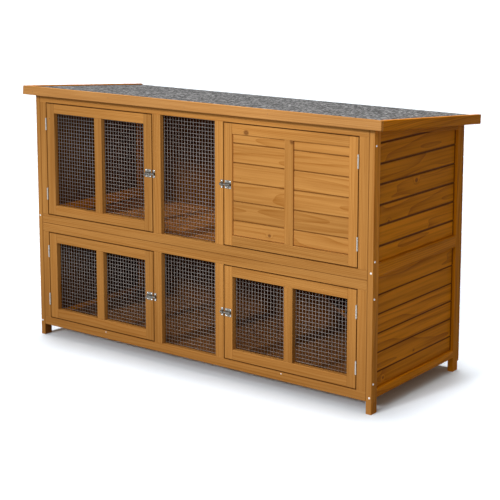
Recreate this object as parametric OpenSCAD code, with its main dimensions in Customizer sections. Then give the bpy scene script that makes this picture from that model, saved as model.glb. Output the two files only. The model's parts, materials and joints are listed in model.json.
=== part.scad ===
// Two-tier timber rabbit hutch with four mesh or boarded doors, barrel bolts, a felted roof and a ramp.
// Millimetres. Sizes are measured from the front left foot; place() then moves the origin to the
// middle of the footprint of the whole hutch, on the ground. -Y is the front.

/* [Body] */
// Width over the two side frames
body_w = 1450; // [1200:10:1800]
// Depth from the front face to the back of the rear posts
body_d = 560; // [450:5:720]
// Height of the seam between the two tiers
tier_z = 430; // [350:1:520]
// Height of the top front edge of the roof
roof_top_z = 936; // [770:1:1130]
// Thickness of the corner posts, across the hutch
post_t = 20; // [16:1:30]
// Depth of the corner posts, front to back
post_d = 34; // [28:1:45]
// Height of the legs under the bottom front rail
leg_h = 41; // [25:1:60]

/* [Front frames] */
// Thickness of the front frames and of the doors
frame_t = 18; // [15:0.5:25]
// Height of the bottom rail of the lower frame
bottom_rail_h = 31; // [24:1:45]
// Height of the rails that meet at the tier seam
seam_rail_h = 33; // [24:1:45]
// Width of the frame stile beside the left doors
left_stile_w = 31; // [24:1:45]
// Width of the frame stile beside the right doors
right_stile_w = 36; // [24:1:45]
// Width of the two uprights beside the fixed centre bay
mullion_w = 36; // [28:1:50]
// Width of the fixed centre bay
centre_bay_w = 237; // [180:1:300]
// Height of the top rail of the upper frame, at its face
upper_top_rail_h = 41.9; // [34:0.1:55]

/* [Doors] */
// Width of the left doors
left_door_w = 504; // [400:1:610]
// Gap all round a door
door_gap = 2; // [1.8:0.1:3]
// Width of the stiles of the left doors
left_door_stile_w = 37; // [28:1:45]
// Width of the stiles of the right doors
right_door_stile_w = 34; // [28:1:45]
// Height of the door rails
door_rail_h = 35; // [28:1:45]
// Width of the middle upright of a door
muntin_w = 34; // [24:1:45]

/* [Cladding] */
// Thickness of the cladding boards
board_t = 8; // [6:0.5:12]
// Width and depth of the bevel along each board joint
board_bevel = 2.2; // [1:0.1:2.5]
// Cover width of the boards of the upper side panels
upper_board_pitch = 64.7; // [50:0.1:80]
// Cover width of the boards of the lower side panels
lower_board_pitch = 62.1; // [50:0.1:80]
// Height of the lowest board of each side panel
first_board_h = 51; // [40:1:62]
// Cover width of the boards of the boarded door
door_board_pitch = 64.5; // [50:0.1:80]
// Cover width of the back boards
back_board_pitch = 64.8; // [50:0.1:80]
// Depth of the side boards behind the face of the posts
side_recess = 9.5; // [5:0.5:11]
// Depth of the door boards behind the face of the door
door_recess = 6; // [4:0.5:8]
// Distance of the lower edge of the back boards below the bottom front rail
back_hem_drop = 10; // [0:1:20]
// Gap between two boards, and between two bearers that meet
joint_gap = 0.5; // [0.2:0.1:1]

/* [Side rails] */
// Height that the lower side rails share with the floor bearers beside them
side_low_lap = 1; // [1:0.5:10]
// Depth of the lower side rail
side_low_h = 26; // [20:1:40]
// Height of the middle side rail above the tier seam
side_mid_rise = 9; // [5:1:30]
// Depth of the middle side rail
side_mid_h = 41; // [30:1:50]
// Depth of the sloping top side rail
side_top_h = 36; // [28:1:45]

/* [Floors] */
// Thickness of the plywood floors, roof deck and partition
ply_t = 9; // [6:0.5:12]
// Height of the underside of the lower floor above the bottom edge of the bottom front rail
lower_floor_rise = 10; // [8:0.5:18]
// Distance of the underside of the upper floor below the tier seam
upper_floor_drop = 4; // [0:0.5:8]
// Depth of the floor bearers
bearer_h = 15; // [12:1:25]
// Thickness of the floor bearers
bearer_t = 20; // [15:1:30]
// Width of the doorway in the nest partition
doorway_w = 170; // [130:5:220]
// Height of the doorway in the nest partition
doorway_h = 230; // [180:5:300]
// Height of the sill under the doorway
doorway_sill_h = 45; // [30:1:70]
// Distance of the doorway from the front edge of the floor
doorway_y = 60; // [40:5:120]

/* [Ramp] */
// Width of the ramp
ramp_w = 140; // [110:5:160]
// Thickness of the ramp board
ramp_t = 12; // [9:0.5:18]
// Distance of the ramp's foot from the right face of the hutch
ramp_foot = 145; // [100:5:250]
// Distance of the ramp's top end from the left face of the hutch
ramp_top_x = 600; // [430:5:640]
// Clearance between the ramp and the sides of its hole
ramp_clear = 5; // [3:0.5:12]
// Distance between the cleats, along the slope
cleat_pitch = 90; // [60:5:120]
// Width and height of a cleat
cleat = [12, 6];

/* [Roof] */
// Slope of the roof, down to the back
roof_slope = 4.6; // [3:0.1:8]
// Overhang of the roof in front of the body, at its top edge
roof_front = 26; // [22:1:40]
// Overhang of the roof at each side
roof_side = 37.5; // [25:0.5:45]
// Overhang of the roof behind the back boards
roof_rear = 46; // [30:1:60]
// Depth of the edge boards of the roof
fascia_h = 32; // [24:1:45]
// Thickness of the edge boards of the roof
fascia_t = 15; // [12:0.5:20]
// Rise of the edge boards above the felt
fascia_lip = 4; // [2:0.5:8]
// Thickness of the mineral felt
felt_t = 2; // [1.5:0.5:4]
// Depth of the roof bearers
rafter_h = 25; // [18:1:35]

/* [Mesh] */
// Thickness of the mesh sheets, over the wires
mesh_t = 1.2; // [1:0.1:2]
// Overlap of a mesh sheet behind the timber round it
mesh_lap = 12; // [8:1:16]

/* [Hinges] */
// Length of a door hinge
hinge_len = 44; // [30:1:60]
// Outer radius of the hinge knuckle
knuckle_r = 2.6; // [2.2:0.1:3.5]
// Radius of the hinge pin
hinge_pin_r = 1.25; // [1:0.05:1.6]
// Radial clearance of the hinge pin
pin_clear = 0.05; // [0.03:0.01:0.1]
// Thickness of the hinge leaves
leaf_t = 0.8; // [0.6:0.1:0.85]
// Depth of the hinge leaves inside the door gap
leaf_d = 14; // [8:1:15]
// Number of knuckles on a hinge
knuckle_n = 5; // [3:2:7]
// Gap between two knuckles
knuckle_gap = 0.4; // [0.3:0.1:0.8]

/* [Bolts] */
// Radius of the sliding rod
rod_r = 2.5; // [2:0.1:3.5]
// Radial clearance of the rod in its case
rod_clear = 0.08; // [0.05:0.01:0.1]
// Radial clearance of the rod in its keeper
keeper_clear = 0.7; // [0.4:0.05:1.2]
// Travel of the rod
rod_travel = 12; // [9:0.5:14]
// Gap between the drawn rod and its keeper
rod_short = 0.8; // [0.5:0.1:1.5]
// Wall of the bolt case and of the keeper loop
case_wall = 1.2; // [1:0.1:2]
// Thickness of the bolt's base plates
plate_t = 1; // [0.8:0.1:1.5]
// Length of the bolt's base plate
case_len = 26; // [24:1:35]
// Height of the bolt's base plate and of the keeper
plate_h = 28; // [24:1:40]
// Length of the keeper
keeper_len = 9.5; // [8:0.5:14]
// Distance from the middle of the door gap to the keeper
keeper_inset = 3; // [2:0.5:5]
// Slope of the knob, away from straight out
knob_tilt = 40; // [0:5:60]

/* [Fasteners] */
// Radius of the domed heads of the frame bolts
bolt_head_r = 3.6; // [3:0.1:6]
// Height of the heads of the frame bolts
bolt_head_h = 2; // [1:0.1:3]
// Distance of the frame bolts on the front from the side faces
front_bolt_inset = 7.5; // [6:0.5:12]
// Distance of the frame bolts on the sides from the front face
side_bolt_inset = 10; // [6:0.5:16]
// Radius of a screw head
screw_head_r = 2.2; // [1.8:0.1:2.6]
// Height of a screw head
screw_head_h = 0.9; // [0.5:0.1:1.5]

/* [Hidden] */
$fn = 32;

// Overall length across a cut, so that no cut ends on a face
over = 1;
// Roof: everything is laid out along the slope from the top front edge
back_y = body_d + board_t;
roof_len = (roof_front + back_y + roof_rear) / cos(roof_slope);
felt_top = -fascia_lip;
deck_top = felt_top - felt_t;
deck_bottom = deck_top - ply_t;
function under_deck(y) = roof_top_z - (y + roof_front) * tan(roof_slope) + deck_bottom / cos(roof_slope);
// Middle of the whole hutch's footprint
front_y = -roof_front - fascia_h * sin(roof_slope);
rear_y = back_y + roof_rear;
origin = [body_w / 2, (front_y + rear_y) / 2, 0];

// Front openings, from left to right
left_door_x = post_t + left_stile_w + door_gap;
mullion_1_x = left_door_x + left_door_w + door_gap;
centre_x = mullion_1_x + mullion_w;
mullion_2_x = centre_x + centre_bay_w;
right_door_x = mullion_2_x + mullion_w + door_gap;
right_door_w = body_w - post_t - right_stile_w - door_gap - right_door_x;
// Everything that keeps its place against the bottom rail or against the tier seam
side_low_z = leg_h + lower_floor_rise - side_low_lap;
side_mid_z = tier_z + side_mid_rise;
back_hem_z = leg_h - back_hem_drop;
lower_floor_z = leg_h + lower_floor_rise + ply_t;
upper_floor_z = tier_z - upper_floor_drop + ply_t;
// Least height of the top board of a panel
least_board_h = 2 * board_bevel + 2;
// Front openings, from the ground up
lower_opening_z = leg_h + bottom_rail_h;
lower_opening_h = tier_z - seam_rail_h - lower_opening_z;
upper_opening_z = tier_z + seam_rail_h;
upper_opening_h = under_deck(0) - upper_top_rail_h - upper_opening_z;
opening_z = [upper_opening_z, lower_opening_z];
opening_h = [upper_opening_h, lower_opening_h];
bolt_z = opening_z + opening_h / 2;

// Front edge of the floors, and front of the back rails
floor_front_y = frame_t + mesh_t + joint_gap;
rear_post_y = body_d - post_d;
back_rail_y = body_d - bearer_t;
// Partition and ramp
partition_x = mullion_2_x + (mullion_w - ply_t) / 2;
ramp_y = back_rail_y - ramp_w;
ramp_rise = upper_floor_z - lower_floor_z;
ramp_run = body_w - ramp_foot - ramp_top_x;
ramp_angle = atan(ramp_rise / ramp_run);
hole_x = [ramp_top_x, partition_x - ramp_clear];
hole_y = [ramp_y - ramp_clear, back_rail_y];

// Door hinges: the pin stands in front of the gap between the door and its frame
knuckle_stand = knuckle_r + 0.4;
left_pin_x = left_door_x - door_gap / 2;
right_pin_x = right_door_x + right_door_w + door_gap / 2;
knuckle_len = (hinge_len + knuckle_gap) / knuckle_n;
hinge_inset = [76, 70];
// Bolts: positions along the rod from the middle of the door gap, towards the keeper
left_gap_x = left_door_x + left_door_w + door_gap / 2;
right_gap_x = right_door_x - door_gap / 2;
rod_tip = keeper_inset - rod_short;
case_end = -5;
case_start = case_end - case_len;
case_margin = 2;
saddle_start = case_start + case_margin;
saddle_end = case_end - case_margin;
case_bore_r = rod_r + rod_clear;
keeper_bore_r = rod_r + keeper_clear;
rod_y = -keeper_bore_r - case_wall;
rod_back = case_start + case_margin / 2;
knob_r = 3;
knob_stem_r = 1.3;
knob_reach = case_bore_r + case_wall + knob_r + 1.5;
slot_w = 2 * knob_stem_r + 0.6;
knob_u = saddle_start + slot_w;
case_screw_inset = 4;
screw_z = plate_h / 2 - 3.5;
// Screws that hold the bottom rail, and the frame bolts on the front and on the sides
rail_screws_x = [328, body_w - 346];
rail_screw_drop = 7;
front_bolts_z = [tier_z + seam_rail_h / 2 + 8, leg_h + 13];
side_bolts_z = [under_deck(0) - side_top_h - 32, side_mid_z + side_mid_h + 10,
    tier_z - seam_rail_h - 26, leg_h + bottom_rail_h + 26];

wood = [0.78, 0.56, 0.31];
wood_edge = [0.80, 0.59, 0.35];
board_wood = [0.72, 0.50, 0.27];
ply = [0.72, 0.53, 0.33];
zinc = [0.78, 0.79, 0.80];
wire = [0.52, 0.50, 0.49];
felt = [0.47, 0.47, 0.48];

module place() {
    translate(-origin) children();
}

// A box between two corners
module block(a, b) {
    translate(a) cube(b - a);
}

// A prism across the hutch, from x0 to x1, with its outline in Y and Z
module prism_x(x0, x1, outline) {
    translate([x0, 0, 0]) rotate([90, 0, 90]) linear_extrude(x1 - x0) polygon(outline);
}

// A prism front to back, from y0 to y1, with its outline in X and Z
module prism_y(y0, y1, outline) {
    translate([0, y1, 0]) rotate([90, 0, 0]) linear_extrude(y1 - y0) polygon(outline);
}

// A member whose top follows the underside of the roof deck
module sloped_top(x0, x1, y0, y1, z0) {
    prism_x(x0, x1, [[y0, z0], [y1, z0], [y1, under_deck(y1)], [y0, under_deck(y0)]]);
}

// Places its children along the roof slope, from the top front edge of the roof
module on_roof() {
    translate([0, -roof_front, roof_top_z]) rotate([-roof_slope, 0, 0]) children();
}

// Turns the left side of the hutch into the right side
module right_side() {
    translate([body_w, 0, 0]) mirror([1, 0, 0]) children();
}

// Posts

module posts(y0) {
    color(wood) place() {
        sloped_top(0, post_t, y0, y0 + post_d, 0);
        right_side() sloped_top(0, post_t, y0, y0 + post_d, 0);
    }
}

// Side frames: three rails between the posts, with horizontal boards between the rails

module side_rails() {
    y0 = post_d;
    y1 = rear_post_y;
    block([0, y0, side_low_z], [post_t, y1, side_low_z + side_low_h]);
    block([0, y0, side_mid_z], [post_t, y1, side_mid_z + side_mid_h]);
    prism_x(0, post_t, [[y0, under_deck(y0) - side_top_h], [y1, under_deck(y1) - side_top_h],
        [y1, under_deck(y1)], [y0, under_deck(y0)]]);
}

// Outline of a board in depth and height: its outer face is at depth 0, with a bevel along each edge
function outline(z0, z1) = [[board_bevel, z0], [board_t, z0], [board_t, z1], [board_bevel, z1],
    [0, z1 - board_bevel], [0, z0 + board_bevel]];
// The same for a board between two joints, which leaves half of the gap at each
function board_outline(z0, z1) = outline(z0 + joint_gap / 2, z1 - joint_gap / 2);

module side_board(z0, z1) {
    translate([side_recess, rear_post_y, 0]) rotate([90, 0, 0])
        linear_extrude(rear_post_y - post_d) polygon(board_outline(z0, z1));
}

// Heights of the board joints between two rails
function joints(z0, z1, pitch) = concat([z0],
    [for (z = [z0 + first_board_h : pitch : z1 - least_board_h]) z], [z1]);

module side_boards() {
    low = joints(side_low_z + side_low_h, side_mid_z, lower_board_pitch);
    for (i = [1 : len(low) - 1]) side_board(low[i - 1], low[i]);
    top_y = [under_deck(post_d) - side_top_h, under_deck(rear_post_y) - side_top_h];
    high = joints(side_mid_z + side_mid_h, top_y[0], upper_board_pitch);
    for (i = [1 : len(high) - 1]) intersection() {
        side_board(high[i - 1], high[i]);
        prism_x(0, post_t, [[post_d, side_mid_z], [rear_post_y, side_mid_z], [rear_post_y, top_y[1]],
            [post_d, top_y[0]]]);
    }
}

// Back: rails between the rear posts, under each floor and under the roof, and boards behind them

module back_rails() {
    color(wood) place() {
        for (z = [lower_floor_z, upper_floor_z] - [ply_t, ply_t])
            block([post_t, back_rail_y, z - bearer_h], [body_w - post_t, body_d, z]);
        prism_x(post_t, body_w - post_t, [[back_rail_y, under_deck(back_rail_y) - side_top_h],
            [body_d, under_deck(body_d) - side_top_h], [body_d, under_deck(body_d)],
            [back_rail_y, under_deck(back_rail_y)]]);
    }
}

module back_boards() {
    top = under_deck(back_y);
    n = round((top - back_hem_z) / back_board_pitch);
    h = (top - back_hem_z) / n;
    color(board_wood) place() for (i = [0 : n - 1])
        prism_x(0, body_w, [for (p = board_outline(back_hem_z + i * h, back_hem_z + (i + 1) * h))
            [back_y - p[0], p[1]]]);
}

// Front frames

module frame_stiles(z0, z1) {
    xs = [[post_t, post_t + left_stile_w], [mullion_1_x, mullion_1_x + mullion_w],
        [mullion_2_x, mullion_2_x + mullion_w],
        [body_w - post_t - right_stile_w, body_w - post_t]];
    color(wood) place() for (x = xs) block([x[0], 0, z0], [x[1], frame_t, z1]);
}

module upper_frame_stiles() {
    frame_stiles(upper_opening_z, upper_opening_z + upper_opening_h);
}

module lower_frame_stiles() {
    frame_stiles(lower_opening_z, lower_opening_z + lower_opening_h);
}

module upper_frame_rails() {
    color(wood) place() {
        block([post_t, 0, tier_z], [body_w - post_t, frame_t, upper_opening_z]);
        sloped_top(post_t, body_w - post_t, 0, frame_t, upper_opening_z + upper_opening_h);
    }
}

module lower_frame_rails() {
    color(wood) place() {
        block([post_t, 0, leg_h], [body_w - post_t, frame_t, lower_opening_z]);
        block([post_t, 0, lower_opening_z + lower_opening_h], [body_w - post_t, frame_t, tier_z]);
    }
}

module centre_mesh(tier) {
    color(wire) place()
        block([centre_x - mesh_lap, frame_t, opening_z[tier] - mesh_lap],
            [mullion_2_x + mesh_lap, frame_t + mesh_t, opening_z[tier] + opening_h[tier] + mesh_lap]);
}

// Floors

module lower_floor() {
    color(ply) place() block([post_t, floor_front_y, lower_floor_z - ply_t],
        [body_w - post_t, body_d, lower_floor_z]);
}

module upper_floor() {
    color(ply) place() difference() {
        block([post_t, floor_front_y, upper_floor_z - ply_t],
            [body_w - post_t, body_d, upper_floor_z]);
        block([hole_x[0], hole_y[0], upper_floor_z - ply_t - over],
            [hole_x[1], hole_y[1], upper_floor_z + over]);
    }
}

module floor_bearers() {
    color(wood) place() for (z = [lower_floor_z - ply_t, upper_floor_z - ply_t]) {
        block([post_t, floor_front_y, z - bearer_h],
            [body_w - post_t, floor_front_y + bearer_t, z]);
        for (x = [post_t, body_w - post_t - bearer_t])
            block([x, floor_front_y + bearer_t + joint_gap, z - bearer_h],
                [x + bearer_t, back_rail_y, z]);
    }
}

module nest_partition() {
    y0 = floor_front_y;
    door_y = y0 + doorway_y;
    door_z = upper_floor_z + doorway_sill_h;
    color(ply) place() difference() {
        sloped_top(partition_x, partition_x + ply_t, y0, back_rail_y, upper_floor_z);
        block([partition_x - over, door_y, door_z],
            [partition_x + ply_t + over, door_y + doorway_w, door_z + doorway_h]);
    }
}

// Ramp

module ramp_board() {
    x0 = ramp_top_x;
    drop = ramp_t / cos(ramp_angle);
    color(ply) place() prism_y(ramp_y, ramp_y + ramp_w, [[x0, upper_floor_z],
        [x0, upper_floor_z - drop], [x0 + (ramp_rise - drop) / tan(ramp_angle), lower_floor_z],
        [x0 + ramp_run, lower_floor_z]]);
}

module ramp_cleats() {
    n = floor(ramp_rise / sin(ramp_angle) / cleat_pitch) - 1;
    color(wood) place() translate([ramp_top_x, ramp_y, upper_floor_z]) rotate([0, ramp_angle, 0])
        for (i = [1 : n]) translate([i * cleat_pitch, 0, 0]) cube([cleat[0], ramp_w, cleat[1]]);
}

// Roof

module roof_bearers() {
    y0 = floor_front_y;
    y1 = back_rail_y;
    color(wood) place() for (x = [body_w / 3, partition_x + body_w / 6] - [bearer_t, bearer_t] / 2)
        prism_x(x, x + bearer_t, [[y0, under_deck(y0) - rafter_h], [y1, under_deck(y1) - rafter_h],
            [y1, under_deck(y1)], [y0, under_deck(y0)]]);
}

module roof_sheet(z0, z1) {
    place() on_roof() block([fascia_t - roof_side, fascia_t, z0],
        [body_w + roof_side - fascia_t, roof_len, z1]);
}

module roof_deck() {
    color(ply) roof_sheet(deck_bottom, deck_top);
}

module roof_felt() {
    color(felt) roof_sheet(deck_top, felt_top);
}

module front_fascia() {
    color(wood_edge) place() on_roof()
        block([-roof_side, 0, -fascia_h], [body_w + roof_side, fascia_t, 0]);
}

module side_fascias() {
    color(wood_edge) place() on_roof() for (x = [-roof_side, body_w + roof_side - fascia_t])
        block([x, fascia_t, -fascia_h], [x + fascia_t, roof_len, 0]);
}

// Doors: side is 0 for the left doors and 1 for the right doors, tier is 0 for the upper doors

function door_x(side) = side == 0 ? left_door_x : right_door_x;
function door_w(side) = side == 0 ? left_door_w : right_door_w;
function door_z(tier) = opening_z[tier] + door_gap;
function door_h(tier) = opening_h[tier] - 2 * door_gap;
function stile_w(side) = side == 0 ? left_door_stile_w : right_door_stile_w;

module door_stiles(side, tier, muntin_t) {
    x0 = door_x(side);
    x1 = x0 + door_w(side);
    z0 = door_z(tier);
    z1 = z0 + door_h(tier);
    middle = (x0 + x1 - muntin_w) / 2;
    color(wood) place() {
        for (x = [x0, x1 - stile_w(side)])
            block([x, 0, z0], [x + stile_w(side), frame_t, z1]);
        block([middle, 0, z0 + door_rail_h], [middle + muntin_w, muntin_t, z1 - door_rail_h]);
    }
}

module door_rails(side, tier) {
    x0 = door_x(side) + stile_w(side);
    x1 = door_x(side) + door_w(side) - stile_w(side);
    z0 = door_z(tier);
    color(wood) place() for (z = [z0, z0 + door_h(tier) - door_rail_h])
        block([x0, 0, z], [x1, frame_t, z + door_rail_h]);
}

module door_mesh(side, tier) {
    x0 = door_x(side) + stile_w(side) - mesh_lap;
    x1 = door_x(side) + door_w(side) - stile_w(side) + mesh_lap;
    z0 = door_z(tier) + door_rail_h - mesh_lap;
    z1 = door_z(tier) + door_h(tier) - door_rail_h + mesh_lap;
    color(wire) place() block([x0, frame_t, z0], [x1, frame_t + mesh_t, z1]);
}

module door_boards(side, tier) {
    x0 = door_x(side) + stile_w(side);
    x1 = door_x(side) + door_w(side) - stile_w(side);
    z0 = door_z(tier) + door_rail_h;
    z1 = door_z(tier) + door_h(tier) - door_rail_h;
    cuts = joints(z0, z1, door_board_pitch);
    color(board_wood) place() for (i = [1 : len(cuts) - 1])
        prism_x(x0, x1, [for (p = board_outline(cuts[i - 1], cuts[i])) [door_recess + p[0], p[1]]]);
}

// Hinges: five knuckles, of which the frame's leaf has the outer ones

function pin_x(side) = side == 0 ? left_pin_x : right_pin_x;
function hinge_z(tier) = [door_z(tier) + hinge_inset[tier],
    door_z(tier) + door_h(tier) - hinge_inset[tier]];

module at_hinges(side, tier) {
    for (z = hinge_z(tier)) translate([pin_x(side), -knuckle_stand, z - hinge_len / 2])
        mirror([side, 0, 0]) children();
}

// One leaf with its knuckles; towards is -1 for the frame's leaf and 1 for the door's leaf
module hinge_leaf(first, towards) {
    edge = door_gap / 2;
    difference() {
        union() {
            for (k = [first : 2 : knuckle_n - 1]) {
                translate([0, 0, k * knuckle_len]) cylinder(r = knuckle_r, h = knuckle_len - knuckle_gap);
                translate([towards > 0 ? edge - leaf_t : -edge, 0, k * knuckle_len])
                    cube([leaf_t, knuckle_stand + 1, knuckle_len - knuckle_gap]);
            }
            translate([towards > 0 ? edge - leaf_t : -edge, knuckle_stand, 0])
                cube([leaf_t, leaf_d, hinge_len]);
        }
        translate([0, 0, -over]) cylinder(r = hinge_pin_r + pin_clear, h = hinge_len + 2 * over);
    }
}

module door_hinge_leaves(side, tier) {
    color(zinc) place() at_hinges(side, tier) hinge_leaf(1, 1);
}

module hinge_frame_leaves() {
    color(zinc) place() for (side = [0, 1], tier = [0, 1]) at_hinges(side, tier) hinge_leaf(0, -1);
}

module hinge_pins() {
    color(zinc) place() for (side = [0, 1], tier = [0, 1]) at_hinges(side, tier)
        cylinder(r = hinge_pin_r, h = hinge_len);
}

// Barrel bolts

module at_bolt(side, tier) {
    translate([side == 0 ? left_gap_x : right_gap_x, 0, bolt_z[tier]]) mirror([side, 0, 0]) children();
}

// A half-round loop over the rod, from u0 to u1
module loop(u0, u1, bore_r) {
    outer_r = bore_r + case_wall;
    difference() {
        union() {
            translate([u0, rod_y, 0]) rotate([0, 90, 0]) cylinder(r = outer_r, h = u1 - u0);
            block([u0, rod_y, -outer_r], [u1, 0, outer_r]);
        }
        translate([u0 - over, rod_y, 0]) rotate([0, 90, 0])
            cylinder(r = bore_r, h = u1 - u0 + 2 * over);
    }
}

module bolt_case(side, tier) {
    color(zinc) place() at_bolt(side, tier) difference() {
        union() {
            block([case_start, -plate_t, -plate_h / 2], [case_end, 0, plate_h / 2]);
            loop(saddle_start, saddle_end, case_bore_r);
        }
        translate([case_start - over, rod_y, 0]) rotate([0, 90, 0])
            cylinder(r = case_bore_r, h = case_len + 2 * over);
        translate([0, rod_y, 0]) rotate([knob_tilt, 0, 0])
            block([knob_u - slot_w / 2, -knob_reach, -slot_w / 2],
                [knob_u + rod_travel + slot_w / 2, 0, slot_w / 2]);
    }
}

module bolt_rod(side, tier) {
    color(zinc) place() at_bolt(side, tier) {
        translate([rod_back, rod_y, 0]) rotate([0, 90, 0]) cylinder(r = rod_r, h = rod_tip - rod_back);
        translate([knob_u, rod_y, 0]) rotate([90 + knob_tilt, 0, 0]) {
            cylinder(r = knob_stem_r, h = knob_reach);
            translate([0, 0, knob_reach]) sphere(r = knob_r);
        }
    }
}

module bolt_keepers() {
    color(zinc) place() for (side = [0, 1], tier = [0, 1]) at_bolt(side, tier) difference() {
        union() {
            block([keeper_inset, -plate_t, -plate_h / 2], [keeper_inset + keeper_len, 0, plate_h / 2]);
            loop(keeper_inset, keeper_inset + keeper_len, keeper_bore_r);
        }
        translate([keeper_inset - over, rod_y, 0]) rotate([0, 90, 0])
            cylinder(r = keeper_bore_r, h = keeper_len + 2 * over);
    }
}

// A domed head standing on a face that looks to -Y
module head(r, h) {
    rotate([90, 0, 0]) intersection() {
        cylinder(r = r, h = h);
        translate([0, 0, h - (r * r + h * h) / (2 * h)]) sphere(r = (r * r + h * h) / (2 * h));
    }
}

module bolt_screws(side, tier) {
    color(zinc) place() at_bolt(side, tier)
        for (u = [case_start + case_screw_inset, case_end - case_screw_inset], z = [-screw_z, screw_z])
            translate([u, -plate_t, z]) head(screw_head_r, screw_head_h);
}

// Screws of the keepers, and the two that hold the bottom rail
module frame_screws() {
    color(zinc) place() {
        for (side = [0, 1], tier = [0, 1]) at_bolt(side, tier) for (z = [-screw_z, screw_z])
            translate([keeper_inset + keeper_len / 2, -plate_t, z]) head(screw_head_r, screw_head_h);
        for (x = rail_screws_x)
            translate([x, 0, lower_opening_z - rail_screw_drop]) head(screw_head_r, screw_head_h);
    }
}

// Heads of the bolts that join the side frames to the front frames
module frame_bolts() {
    color(zinc) place() for (side = [0, 1]) translate([side * body_w, 0, 0]) mirror([side, 0, 0]) {
        for (z = front_bolts_z) translate([front_bolt_inset, 0, z]) head(bolt_head_r, bolt_head_h);
        for (z = side_bolts_z)
            translate([0, side_bolt_inset, z]) rotate([0, 0, -90]) head(bolt_head_r, bolt_head_h);
    }
}

posts(0);  // front_posts
posts(rear_post_y);  // rear_posts
color(wood) place() side_rails();  // left_side_rails
color(wood) place() right_side() side_rails();  // right_side_rails
color(board_wood) place() side_boards();  // left_side_boards
color(board_wood) place() right_side() side_boards();  // right_side_boards
back_rails();
back_boards();
upper_frame_stiles();
upper_frame_rails();
lower_frame_stiles();
lower_frame_rails();
centre_mesh(0);  // upper_centre_mesh
centre_mesh(1);  // lower_centre_mesh
upper_floor();
lower_floor();
floor_bearers();
nest_partition();
ramp_board();
ramp_cleats();
roof_bearers();
roof_deck();
roof_felt();
front_fascia();
side_fascias();
hinge_frame_leaves();
hinge_pins();
bolt_keepers();
frame_screws();
frame_bolts();
door_stiles(0, 0, frame_t);  // upper_left_door_stiles
door_rails(0, 0);  // upper_left_door_rails
door_mesh(0, 0);  // upper_left_door_mesh
door_hinge_leaves(0, 0);  // upper_left_hinge_leaves
bolt_case(0, 0);  // upper_left_bolt_case
bolt_screws(0, 0);  // upper_left_bolt_screws
bolt_rod(0, 0);  // upper_left_bolt_rod
door_stiles(1, 0, door_recess);  // upper_right_door_stiles
door_rails(1, 0);  // upper_right_door_rails
door_boards(1, 0);  // upper_right_door_boards
door_hinge_leaves(1, 0);  // upper_right_hinge_leaves
bolt_case(1, 0);  // upper_right_bolt_case
bolt_screws(1, 0);  // upper_right_bolt_screws
bolt_rod(1, 0);  // upper_right_bolt_rod
door_stiles(0, 1, frame_t);  // lower_left_door_stiles
door_rails(0, 1);  // lower_left_door_rails
door_mesh(0, 1);  // lower_left_door_mesh
door_hinge_leaves(0, 1);  // lower_left_hinge_leaves
bolt_case(0, 1);  // lower_left_bolt_case
bolt_screws(0, 1);  // lower_left_bolt_screws
bolt_rod(0, 1);  // lower_left_bolt_rod
door_stiles(1, 1, frame_t);  // lower_right_door_stiles
door_rails(1, 1);  // lower_right_door_rails
door_mesh(1, 1);  // lower_right_door_mesh
door_hinge_leaves(1, 1);  // lower_right_hinge_leaves
bolt_case(1, 1);  // lower_right_bolt_case
bolt_screws(1, 1);  // lower_right_bolt_screws
bolt_rod(1, 1);  // lower_right_bolt_rod
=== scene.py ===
"""Finishes a two-tier timber rabbit hutch: stained boards, welded mesh, zinc bolts and a felted roof."""

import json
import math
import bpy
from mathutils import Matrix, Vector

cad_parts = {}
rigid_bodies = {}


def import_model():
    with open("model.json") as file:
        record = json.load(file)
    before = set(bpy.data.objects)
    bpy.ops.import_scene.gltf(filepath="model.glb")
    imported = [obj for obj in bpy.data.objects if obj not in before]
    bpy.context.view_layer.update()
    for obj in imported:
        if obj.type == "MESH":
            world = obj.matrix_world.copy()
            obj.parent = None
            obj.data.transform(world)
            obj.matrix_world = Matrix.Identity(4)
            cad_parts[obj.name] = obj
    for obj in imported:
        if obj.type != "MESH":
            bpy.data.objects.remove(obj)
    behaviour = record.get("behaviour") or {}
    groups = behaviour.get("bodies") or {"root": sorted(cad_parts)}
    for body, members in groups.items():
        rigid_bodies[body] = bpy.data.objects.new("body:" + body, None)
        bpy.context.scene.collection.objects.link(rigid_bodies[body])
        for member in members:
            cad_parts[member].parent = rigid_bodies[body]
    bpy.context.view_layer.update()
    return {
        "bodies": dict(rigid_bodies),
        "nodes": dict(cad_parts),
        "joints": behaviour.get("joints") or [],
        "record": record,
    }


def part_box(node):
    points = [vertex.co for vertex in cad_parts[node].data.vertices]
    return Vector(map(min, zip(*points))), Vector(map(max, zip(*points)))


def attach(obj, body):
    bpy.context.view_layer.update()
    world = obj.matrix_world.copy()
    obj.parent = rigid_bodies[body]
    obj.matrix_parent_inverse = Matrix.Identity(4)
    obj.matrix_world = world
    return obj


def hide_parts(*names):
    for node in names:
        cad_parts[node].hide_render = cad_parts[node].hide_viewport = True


bl_info = {
    "name": "Rabbit Hutch",
    "version": (1, 0, 0),
    "blender": (4, 5, 0),
    "location": "3D View > Sidebar > Hutch",
    "description": "Stains, felts and fits out a two-tier timber rabbit hutch",
    "category": "Object",
}

import bmesh
import bpy
from bpy.props import FloatProperty, FloatVectorProperty, IntProperty, PointerProperty
from mathutils import Matrix, Vector

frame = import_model()
NODES = frame["nodes"]

DOORS = ("upper_left", "upper_right", "lower_left", "lower_right")
MESH_DOORS = ("upper_left", "lower_left", "lower_right")
TO_FRONT = Matrix.Rotation(math.pi / 2, 4, "X")


# Sizes, colours and the studio


def length(name, description, default, least=0.0):
    """A size in metres."""
    return FloatProperty(
        name=name,
        description=description,
        default=default,
        min=least,
        subtype="DISTANCE",
        unit="LENGTH",
        precision=4,
    )


def colour(name, description, default):
    """A plain linear colour."""
    return FloatVectorProperty(
        name=name,
        description=description,
        default=default,
        min=0.0,
        max=1.0,
        size=3,
        subtype="COLOR",
    )


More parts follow.
